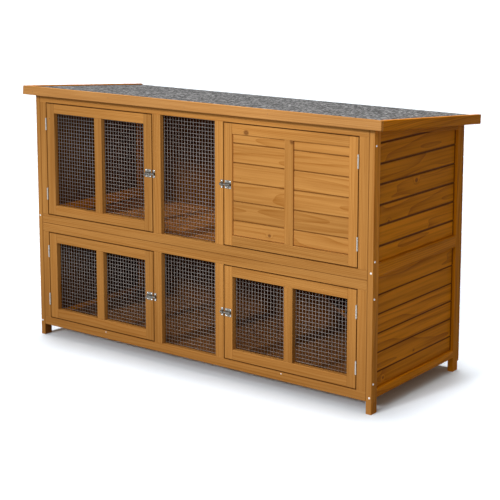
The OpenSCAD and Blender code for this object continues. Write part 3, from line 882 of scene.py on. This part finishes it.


class HUTCH_OT_stage(bpy.types.Operator):
    """Sets the floor, the lights, the room and the camera"""

    bl_idname = "hutch.stage"
    bl_label = "Stage"

    def execute(self, context):
        scene = context.scene
        scene.view_settings.view_transform = "Standard"
        bm = bmesh.new()
        bmesh.ops.create_circle(bm, cap_ends=True, segments=96, radius=FLOOR_RADIUS)
        mesh = bpy.data.meshes.new("floor")
        bm.to_mesh(mesh)
        bm.free()
        mesh.materials.append(studio_paper("studio_paper"))
        floor = bpy.data.objects.new("floor", mesh)
        scene.collection.objects.link(floor)
        floor.visible_diffuse = False
        studio = scene.hutch_studio
        self.lamp("key", "SUN", studio.key, studio.key_place, angle=studio.key_spread)
        self.lamp("fill", "AREA", studio.fill, studio.fill_place, size=studio.fill_size)
        self.lamp("top", "SUN", studio.top, studio.top_place, angle=studio.top_spread)
        self.room(scene, studio)
        eye = bpy.data.cameras.new("camera")
        eye.lens = studio.lens
        eye.shift_y = studio.rise
        eye.clip_end = FAR_END
        camera = bpy.data.objects.new("camera", eye)
        camera.location = studio.eye
        camera.rotation_euler = (math.pi / 2 - studio.tilt, 0.0, studio.heading)
        scene.collection.objects.link(camera)
        scene.camera = camera
        return {"FINISHED"}

    @staticmethod
    def lamp(name, kind, power, place, **settings):
        """A light at that place, aimed at the origin."""
        data = bpy.data.lights.new(name, kind)
        data.energy = power
        for key, value in settings.items():
            setattr(data, key, value)
        lamp = bpy.data.objects.new(name, data)
        lamp.location = place
        lamp.rotation_euler = (-Vector(place)).to_track_quat("-Z", "Y").to_euler()
        bpy.context.scene.collection.objects.link(lamp)

    @staticmethod
    def room(scene, studio):
        """White all round to the eye and partly on the metal, and a dimmer, warmer light elsewhere."""
        world = bpy.data.worlds.new("room")
        world.use_nodes = True
        scene.world = world
        nodes, links = world.node_tree.nodes, world.node_tree.links
        path = nodes.new("ShaderNodeLightPath")
        tone = nodes.new("ShaderNodeMix")
        tone.data_type = "RGBA"
        tone.inputs[6].default_value = (*(studio.room * part for part in studio.room_tint), 1.0)
        tone.inputs[7].default_value = (*(studio.backdrop,) * 3, 1.0)
        shine = nodes.new("ShaderNodeMath")
        shine.operation = "MULTIPLY_ADD"
        shine.inputs[1].default_value = studio.shine
        links.new(path.outputs["Is Glossy Ray"], shine.inputs[0])
        links.new(path.outputs["Is Camera Ray"], shine.inputs[2])
        links.new(shine.outputs[0], tone.inputs[0])
        links.new(tone.outputs[2], nodes["Background"].inputs["Color"])


class HUTCH_OT_timber(bpy.types.Operator):
    """Stains the posts, the rails, the stiles and the bearers"""

    bl_idname = "hutch.timber"
    bl_label = "Frames"

    def execute(self, context):
        upright = ["upper_frame_stiles", "lower_frame_stiles"]
        upright += [f"{door}_door_stiles" for door in DOORS]
        level = ["upper_frame_rails", "lower_frame_rails", "back_rails", "floor_bearers"]
        level += [f"{door}_door_rails" for door in DOORS]
        flank = ["left_side_rails", "right_side_rails", "roof_bearers", "ramp_cleats"]
        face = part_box("front_posts")[1].x
        # The outer sides of the front posts take the boards' colour and are painted lighter, as if lit
        # more
        post_pine = stained_wood("front_post_pine", "Z", "frame", flank=face, frame=True)
        coat(["front_posts"], post_pine)
        coat(upright, stained_wood("upright_pine", "Z", "frame", frame=True))
        coat(level, stained_wood("level_pine", "X", "frame", frame=True))
        # The side rails, the roof bearers, the ramp cleats and the rear posts take the boards' colours,
        # partly as painted shade of the side faces
        coat(flank, stained_wood("flank_pine", "Y", "board"))
        coat(["rear_posts"], stained_wood("rear_post_pine", "Z", "board"))
        soften(["front_posts", "rear_posts"] + upright + level + flank, sizes().timber_edge)
        return {"FINISHED"}


class HUTCH_OT_cladding(bpy.types.Operator):
    """Stains the boards of the sides, the back and the boarded door"""

    bl_idname = "hutch.cladding"
    bl_label = "Boards"

    def execute(self, context):
        size = sizes()
        sides = ["left_side_boards", "right_side_boards"]
        lowest, middle = solids("right_side_rails")[:2]
        bands = [
            (lowest[1].z + size.first_board - size.lower_course, size.lower_course, 0.0),
            (
                middle[1].z + size.first_board - size.upper_course,
                size.upper_course,
                (middle[0].z + middle[1].z) / 2,
            ),
        ]
        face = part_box("right_side_boards")[1].x
        ends = [corner.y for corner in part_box("right_side_boards")]
        side = Boards(bands, face, 0.92, ends=ends)
        coat(sides, stained_wood("side_boards", "Y", "board", side, 0.60))

        low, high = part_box("back_boards")
        back = Boards([(low.z, (high.z - low.z) / size.back_boards, 0.0)], high.y, 0.7)
        back_pine = stained_wood("back_boards", "X", "board", back, 0.45, size.back_knot)
        coat(["back_boards"], back_pine)

        low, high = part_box("upper_right_door_boards")
        start = low.z + size.first_board - size.door_course
        door = Boards([(start, size.door_course, 0.0)], -low.y, 0.5, 0.4)
        coat(["upper_right_door_boards"], stained_wood("door_boards", "X", "frame", door))

        soften(sides + ["back_boards", "upper_right_door_boards"], size.board_edge, 1)
        # The tongues get the dark colours of the joints and the inside: painted shade in the joints
        tongue_pine = stained_wood("tongue_pine", "X", "tongue")
        for node in sides:
            tongues(node, "hutch", 0, tongue_pine)
        tongues("back_boards", "hutch", 1, tongue_pine)
        tongues("upper_right_door_boards", "upper_right_door", 1, tongue_pine)
        return {"FINISHED"}


class HUTCH_OT_floors(bpy.types.Operator):
    """Finishes the plywood floors, the nest partition, the ramp and the roof deck"""

    bl_idname = "hutch.floors"
    bl_label = "Plywood"

    def execute(self, context):
        # The lower floor and the ramp are painted darker, as the shade inside the lower tier
        clean, wear_and_shade = ["upper_floor", "roof_deck"], ["lower_floor", "ramp_board"]
        coat(clean, veneer("level_plywood", "F"))
        coat(wear_and_shade, veneer("worn_plywood", "F", SHADED_PLY))
        coat(["nest_partition"], veneer("upright_plywood", "Y"))
        soften(clean + wear_and_shade + ["nest_partition"], sizes().board_edge, 1)
        return {"FINISHED"}


class HUTCH_OT_roof(bpy.types.Operator):
    """Felts the roof and stains its edge boards"""

    bl_idname = "hutch.roof"
    bl_label = "Roof"

    def execute(self, context):
        coat(["roof_felt"], mineral_felt("mineral_felt"))
        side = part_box("front_fascia")[1].x
        # The end faces of the front edge board take the boards' colour and are painted lighter, as if
        # lit more
        coat(["front_fascia"], stained_wood("front_edge_pine", "X", "edge", flank=side))
        # The side edge boards take the boards' colours, partly as painted shade of the side faces
        coat(["side_fascias"], stained_wood("side_edge_pine", "Y", "board"))
        soften(["front_fascia", "side_fascias"], sizes().timber_edge)
        nail_heads(plated("nail_paint", colours().nail, 0.50, 500.0, 0.1))
        return {"FINISHED"}


class HUTCH_OT_mesh(bpy.types.Operator):
    """Lays the welded mesh of the doors and the centre bays, and staples it on"""

    bl_idname = "hutch.mesh"
    bl_label = "Mesh"

    def execute(self, context):
        wire = plated("galvanised_wire", colours().galvanised, 0.42, 300.0, 0.35)
        steel = plated("staple_steel", colours().steel, 0.30, 500.0)
        sheets = [("upper_centre_mesh", "hutch"), ("lower_centre_mesh", "hutch")]
        sheets += [(f"{door}_door_mesh", f"{door}_door") for door in MESH_DOORS]
        for node, body in sheets:
            wire_sheet(node, body, wire)
            staples(node, body, steel)
        return {"FINISHED"}


class HUTCH_OT_hardware(bpy.types.Operator):
    """Plates the hinges, the bolts and their keepers"""

    bl_idname = "hutch.hardware"
    bl_label = "Hinges and Bolts"

    def execute(self, context):
        zinc = plated("zinc_plate", colours().zinc, 0.20, 420.0)
        coat(["frame_bolts"], plated("bright_zinc", colours().steel, 0.45, 600.0, 0.6))
        hinges = ["hinge_frame_leaves", "hinge_pins"] + [f"{door}_hinge_leaves" for door in DOORS]
        coat(hinges, plated("hinge_zinc", colours().hinge, 0.32, 420.0))
        parts = [f"{door}_{part}" for door in DOORS for part in ("bolt_case", "bolt_rod")]
        coat(["bolt_keepers"] + parts, zinc)
        return {"FINISHED"}


class HUTCH_OT_screws(bpy.types.Operator):
    """Drives the cross-headed screws of the bolts, the keepers and the bottom rail"""

    bl_idname = "hutch.screws"
    bl_label = "Screws"

    def execute(self, context):
        zinc = plated("screw_zinc", colours().steel, 0.26, 600.0)
        heads("frame_screw_heads", ["frame_screws"], "hutch", zinc)
        for door in DOORS:
            heads(f"{door}_screw_heads", [f"{door}_bolt_screws"], f"{door}_door", zinc)
        return {"FINISHED"}


STEPS = (
    HUTCH_OT_stage,
    HUTCH_OT_timber,
    HUTCH_OT_cladding,
    HUTCH_OT_floors,
    HUTCH_OT_roof,
    HUTCH_OT_mesh,
    HUTCH_OT_hardware,
    HUTCH_OT_screws,
)


class HUTCH_PT_steps(bpy.types.Panel):
    """Lists the steps that finish the hutch."""

    bl_label = "Rabbit Hutch"
    bl_idname = "HUTCH_PT_steps"
    bl_space_type = "VIEW_3D"
    bl_region_type = "UI"
    bl_category = "Hutch"

    def draw(self, context):
        for step in STEPS:
            self.layout.operator(step.bl_idname)
        for name, _ in GROUPS:
            group, box = getattr(context.scene, name), self.layout.box()
            for key in group.bl_rna.properties.keys():
                if key not in ("rna_type", "name"):
                    box.prop(group, key)


GROUPS = (
    ("hutch_sizes", HutchSizes),
    ("hutch_colours", HutchColours),
    ("hutch_studio", HutchStudio),
)


def register():
    for _, group in GROUPS:
        bpy.utils.register_class(group)
    for name, group in GROUPS:
        setattr(bpy.types.Scene, name, PointerProperty(type=group))
    for step in STEPS + (HUTCH_PT_steps,):
        bpy.utils.register_class(step)


def unregister():
    for step in reversed(STEPS + (HUTCH_PT_steps,)):
        bpy.utils.unregister_class(step)
    for name, group in reversed(GROUPS):
        delattr(bpy.types.Scene, name)
        bpy.utils.unregister_class(group)


def main():
    """Registers the add-on and builds everything in order."""
    register()
    for step in STEPS:
        group, name = step.bl_idname.split(".")
        getattr(getattr(bpy.ops, group), name)()


if __name__ == "__main__":
    main()
